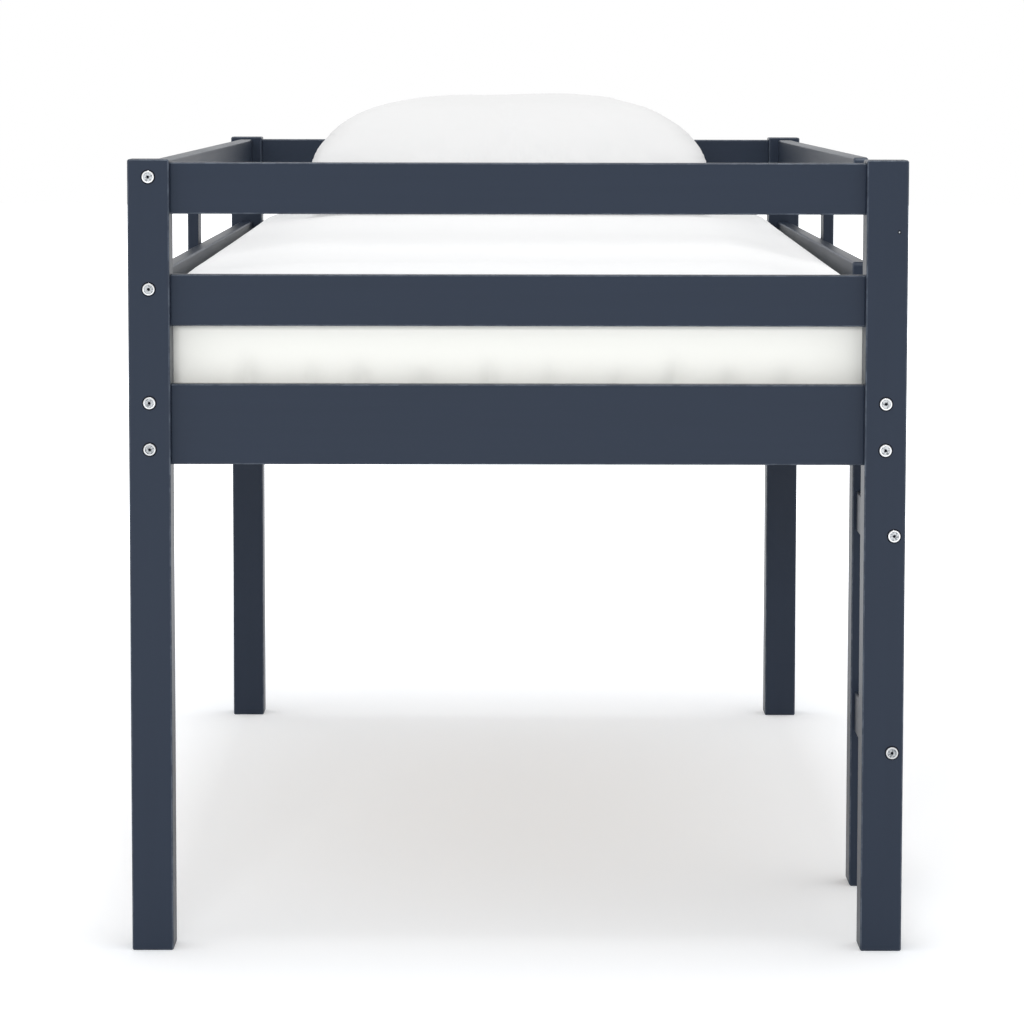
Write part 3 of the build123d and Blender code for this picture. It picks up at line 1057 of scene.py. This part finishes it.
PUCKER_LEAN = 0.12
PUCKER_PITCH = 78.0 * mm
PUCKER_JITTER = 16.0 * mm
PUCKER_DEPTHS = (6.0 * mm, 13.0 * mm)
PUCKER_WIDTHS = (10.0 * mm, 17.0 * mm)
PUCKER_RISES = (65.0 * mm, 100.0 * mm)
PUCKER_END_ROOM = 112.0 * mm
HEM_DRAW = 5.0 * mm
HEM_RISE = 80.0 * mm
HEM_WIDTH = 85.0 * mm
HEM_THICKNESS = 4.0 * mm
HEM_RIPPLE_LENGTHS = (24.0 * mm, 24.0 * mm, 400.0 * mm)
HEM_WANDER = 5.0 * mm
HEM_EDGE = 14.0 * mm
HEM_PLAIN = 15.0 * mm
HEM_GATHER = 0.9 * mm
TICKING_START = 8.0 * mm
SIDE_REACH = 30.0 * mm
SIDE_FADE = 30.0 * mm


def crown(places):
    """How far the middle of the mattress stands above its edges, at each place."""
    edge = np.array(mattress_high)
    inside = edge[:2] - np.abs(places[:, :2])
    rise = step_up(inside, CROWN_START, CROWN_START + CROWN_REACH)
    return CROWN_RISE * rise[:, 0] * rise[:, 1]


def model_mattress():
    """A block with its upright corners rounded. Its rims are rounded over later."""
    deselect()
    low, high = mattress_low, mattress_high
    bpy.ops.mesh.primitive_cube_add(size=1, location=(low + high) / 2)
    piece = bpy.context.object
    piece.name = "mattress_in_sheet"
    piece.scale = high - low - Vector((1, 1, 1)) * 2 * MATTRESS_START
    settle(piece)
    edit(piece)
    pick(piece, lambda edge: abs(edge.verts[0].co.z - edge.verts[1].co.z) > MATTRESS_START, "edges")
    bpy.ops.mesh.bevel(offset=MATTRESS_CORNER, segments=6, affect="EDGES")
    deselect()
    return piece


def round_over(piece, level, way, radius):
    """Rounds the rim of the block at a level, its upper rim, 1, or its lower one, -1."""
    places = spots(piece)
    half = np.array(mattress_high)[:2] - MATTRESS_START
    past = np.abs(places[:, :2]) - (half - MATTRESS_CORNER)
    corner = np.maximum(past, 0)
    length = np.linalg.norm(corner, axis=1)
    inside = MATTRESS_CORNER - length - np.minimum(past.max(1), 0)
    nearest = np.eye(2)[past.argmax(1)]
    round_way = corner / np.maximum(length, NEARLY_ZERO)[:, None]
    heading = np.where((length > 0)[:, None], round_way, nearest) * np.sign(places[:, :2])
    depth = way * (level - places[:, 2])
    arm = np.stack([inside, depth], 1) - radius
    reach = np.linalg.norm(arm, axis=1)
    outer = (arm < 0).all(1) & (reach > radius)
    change = arm * (radius / np.maximum(reach, NEARLY_ZERO) - 1)[:, None] * outer[:, None]
    places[:, :2] -= heading * change[:, :1]
    places[:, 2] -= way * change[:, 1]
    move_spots(piece, places)


def fold_depths(along, rise, half, chance):
    """How far one side of the sheet is drawn in: all along its lower edge, and more in upright folds."""
    drawn = HEM_DRAW * step_up(HEM_RISE - rise, 0, HEM_RISE)
    place = -half
    while place < half:
        width = chance.uniform(*PUCKER_WIDTHS)
        depth = chance.uniform(*PUCKER_DEPTHS)
        reach = chance.uniform(*PUCKER_RISES)
        lean = chance.uniform(-PUCKER_LEAN, PUCKER_LEAN)
        fold = np.exp(-((along - place - lean * rise) / width) ** 2)
        drawn = drawn + depth * fold * step_up(reach - rise, 0, reach * 0.8)
        place += PUCKER_PITCH + chance.uniform(-PUCKER_JITTER, PUCKER_JITTER)
    return drawn


def gather_foot(piece):
    """Draws the sheet in along its lower edge, in soft upright folds on all four sides."""
    chance = random.Random(PUCKER_SEED)
    places = spots(piece)
    low, high = np.array(mattress_low), np.array(mattress_high)
    rise = places[:, 2] - low[2]
    facing = directions(piece)
    moved = places.copy()
    for axis in (0, 1):
        along = places[:, 1 - axis]
        half = high[1 - axis] - PUCKER_END_ROOM
        for side, edge in ((-1, low[axis]), (1, high[axis])):
            near = step_up(side * (places[:, axis] - edge), -SIDE_REACH - SIDE_FADE, -SIDE_REACH)
            near = near * step_up(side * facing[:, axis], 0.0, 0.6)
            moved[:, axis] -= side * fold_depths(along, rise, half, chance) * near
    move_spots(piece, moved)


def sheet_waves(places, inside):
    """Shallow waves in the top of the sheet, which fade out under the pillow and towards the sides."""
    lines = waves(places, SHEET_LINE_LENGTHS, seed=3.1)
    broad = waves(places, SHEET_WAVE_LENGTH, seed=9.7)
    free = 1 - step_up(places[:, 1], *UNDER_PILLOW_Y) * step_up(inside, *UNDER_PILLOW_RIM)
    free = free * step_up(inside, *SHEET_FLAT_RIM)
    return (SHEET_WAVE_HEIGHT * broad + SHEET_LINE_HEIGHT * lines - SHEET_SETTLE) * free


def edge_drop(places, inside):
    """How far the corners droop at the foot and the sides sag. The sag grows towards the foot, and turns
    into a slight rise towards the head."""
    corner = np.linalg.norm(np.array(mattress_high)[:2] - np.abs(places[:, :2]), axis=1)
    droop = CORNER_DROOP * np.exp(-(corner / CORNER_DROOP_REACH) ** 2) * (places[:, 1] < 0)
    footward = (SAG_HEAD - places[:, 1]) / (SAG_HEAD + mattress_high.y)
    sag = np.where(places[:, 0] < 0, *SIDE_SAGS) * footward * (1 - step_up(inside, *SAG_REACH))
    return droop + sag


def raise_crown(piece):
    """Raises the middle of the top, lowers its edges and lays the waves in the sheet."""
    places = spots(piece)
    facing = directions(piece)
    upward = step_up(facing[:, 2], 0.5, 0.9)
    inside = np.array(mattress_high)[0] - np.abs(places[:, 0])
    middle = (mattress_low.z + mattress_high.z) / 2
    above = step_up(places[:, 2], middle, mattress_high.z - MATTRESS_SHOULDER)
    lift = crown(places) + upward * sheet_waves(places, inside) - edge_drop(places, inside)
    places[:, 2] += above * lift
    move_spots(piece, places)


def turn_hem(piece):
    """The sheet's gathered hem under the mattress, round the bare underside."""
    places = spots(piece)
    facing = directions(piece)
    inside = (np.array(mattress_high)[:2] - np.abs(places[:, :2])).min(1)
    ripple = waves(places, HEM_RIPPLE_LENGTHS, seed=6.4)
    under = step_up(-facing[:, 2], 0.6, 0.95)
    start = HEM_WIDTH + HEM_WANDER * ripple
    bare = step_up(inside, start, start + HEM_EDGE)
    gathered = (1 - bare) * step_up(inside, HEM_PLAIN, HEM_WIDTH) * (1 + ripple) * HEM_GATHER
    places[:, 2] += under * (bare * HEM_THICKNESS + gathered)
    move_spots(piece, places)
    coat(piece, None, None)
    for face in piece.data.polygons:
        clear = min(mattress_high.x - abs(face.center.x), mattress_high.y - abs(face.center.y))
        face.material_index = int(face.normal.z < -0.5 and clear > HEM_WIDTH + TICKING_START)


def make_mattress():
    piece = model_mattress()
    remesh(piece, MATTRESS_VOXEL, MATTRESS_SMOOTHING)
    round_over(piece, mattress_high.z - MATTRESS_START, 1, MATTRESS_SHOULDER)
    round_over(piece, mattress_low.z + MATTRESS_START, -1, MATTRESS_FOOT)
    puff(piece, MATTRESS_SWELL)
    subdivide(piece)
    fit(piece, mattress_low, mattress_high)
    gather_foot(piece)
    raise_crown(piece)
    turn_hem(piece)
    finish_soft(piece, "mattress", "mattress_cover", 0.9, sheet_cotton, mattress_ticking)


# Pillow

PILLOW_SEAM_RISE = 90.0 * mm
PILLOW_PATCH_SHARE = 0.5
PILLOW_SOLID_PATCH_SHARE = 0.72
PILLOW_TUCK_MOST = 1.03
PILLOW_TOP_ROUND = 1 / 3
PILLOW_TOP_SLIM = 0.1
PILLOW_TOP_START = 0.12
PILLOW_LEAN = 24.0 * mm
PILLOW_LEAN_POWER = 8
PILLOW_REST_GAP = 0.5 * mm
OUTLINE_STEPS = 80
OUTLINE_LEAST = 0.05
SEAM_RIDGE = 2.4 * mm
SEAM_WIDTH = 4.0 * mm
SEAM_GROOVE = 2.0 * mm
SEAM_GROOVE_ASIDE = 2.4 * SEAM_WIDTH
SEAM_GROOVE_WIDTH = 1.2 * SEAM_WIDTH
CREASE_LENGTH = 0.055
CREASE_CLIMB = 2.0
CREASE_HEIGHT = 2.0 * mm
CREASE_REACH = 30.0 * mm
DENT_LENGTH = 170.0 * mm
DENT_HEIGHT = 1.6 * mm
RUMPLE_LENGTH = 60.0 * mm
RUMPLE_HEIGHT = 0.5 * mm


def tuck_underside(piece):
    """Rounds the underside to a smaller patch on the mattress."""
    places = spots(piece)
    low, high = [np.array(corner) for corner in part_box("pillow")]
    middle = (low + high) / 2
    drop = np.clip((low[2] + PILLOW_SEAM_RISE - places[:, 2]) / PILLOW_SEAM_RISE, 0, 1)
    round_plan = PILLOW_PATCH_SHARE + (1 - PILLOW_PATCH_SHARE) * np.sqrt(1 - drop ** 2)
    solid_plan = 1 - (1 - PILLOW_SOLID_PATCH_SHARE) * drop
    share = np.minimum(round_plan / solid_plan, PILLOW_TUCK_MOST)[:, None]
    places[:, :2] = middle[:2] + (places[:, :2] - middle[:2]) * share
    move_spots(piece, places)


def crease_pillow(piece):
    """A knife-edge seam round the pillow, creases that start at it, and broad dents."""
    places = spots(piece)
    low, high = [np.array(corner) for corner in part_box("pillow")]
    middle = (low + high) / 2
    facing = directions(piece)
    above = places[:, 2] - low[2] - PILLOW_SEAM_RISE
    turn = np.arctan2(places[:, 1] - middle[1], places[:, 0] - middle[0])
    ring = np.stack([np.cos(turn), np.sin(turn), above * CREASE_CLIMB], 1)
    fade = np.exp(-np.abs(above) / CREASE_REACH)
    creases = CREASE_HEIGHT * waves(ring, CREASE_LENGTH, seed=5.3) * fade
    dents = DENT_HEIGHT * waves(places, DENT_LENGTH, seed=2.2)
    rumples = RUMPLE_HEIGHT * waves(places, RUMPLE_LENGTH, seed=8.8)
    ridge = SEAM_RIDGE * np.exp(-(above / SEAM_WIDTH) ** 2)
    groove = SEAM_GROOVE * np.exp(-((np.abs(above) - SEAM_GROOVE_ASIDE) / SEAM_GROOVE_WIDTH) ** 2)
    lift = creases + dents + rumples + ridge - groove
    flat = step_up(-facing[:, 2], 0.85, 0.97)
    move_spots(piece, places + facing * (lift * (1 - flat))[:, None])


def round_top(piece):
    """Brings the pillow's upper outline, seen from the foot of the bed, to its full flat-topped curve, and
    leans its very top to the right."""
    places = spots(piece)
    low, high = [np.array(corner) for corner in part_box("pillow")]
    middle = (low + high) / 2
    seam = low[2] + PILLOW_SEAM_RISE
    height = np.clip((places[:, 2] - seam) / (high[2] - seam), 0, 1)
    aside = np.abs(places[:, 0] - middle[0]) / (high[0] - middle[0])
    level = np.minimum((height * OUTLINE_STEPS).astype(int), OUTLINE_STEPS - 1)
    reach = np.array([aside[level == step].max() for step in range(OUTLINE_STEPS)])
    levels = np.arange(OUTLINE_STEPS) / OUTLINE_STEPS
    wanted = (1 - levels ** 2) ** PILLOW_TOP_ROUND * (1 - PILLOW_TOP_SLIM * levels * (1 - levels))
    share = np.interp(height, levels, wanted / np.maximum(reach, OUTLINE_LEAST))
    share = 1 + (share - 1) * step_up(height, 0, PILLOW_TOP_START)
    lean = PILLOW_LEAN * height ** PILLOW_LEAN_POWER
    places[:, 0] = middle[0] + (places[:, 0] - middle[0]) * share + lean
    move_spots(piece, places)


def rest_pillow(piece):
    """Lays the underside on the crown of the mattress."""
    places = spots(piece)
    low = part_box("pillow")[0]
    seam = low.z + PILLOW_SEAM_RISE
    share = np.clip((seam - places[:, 2]) / PILLOW_SEAM_RISE, 0, 1)
    floor = mattress_high.z + crown(places) + PILLOW_REST_GAP
    places[:, 2] += share * (floor - low.z)
    places[:, 2] = np.maximum(places[:, 2], floor)
    move_spots(piece, places)
    low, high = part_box("pillow")
    fit(piece, (low.x, low.y, places[:, 2].min()), high)


def make_pillow():
    piece = copy_of("pillow", "pillow_in_case")
    remesh(piece, PILLOW_VOXEL, PILLOW_SMOOTHING)
    tuck_underside(piece)
    puff(piece, PILLOW_SWELL)
    soften(piece, PILLOW_SMOOTHING)
    subdivide(piece)
    fit(piece, *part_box("pillow"))
    crease_pillow(piece)
    fit(piece, *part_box("pillow"))
    round_top(piece)
    rest_pillow(piece)
    finish_soft(piece, "pillow", "pillow_cotton", 0.7, pillow_cotton)


make_mattress()
make_pillow()
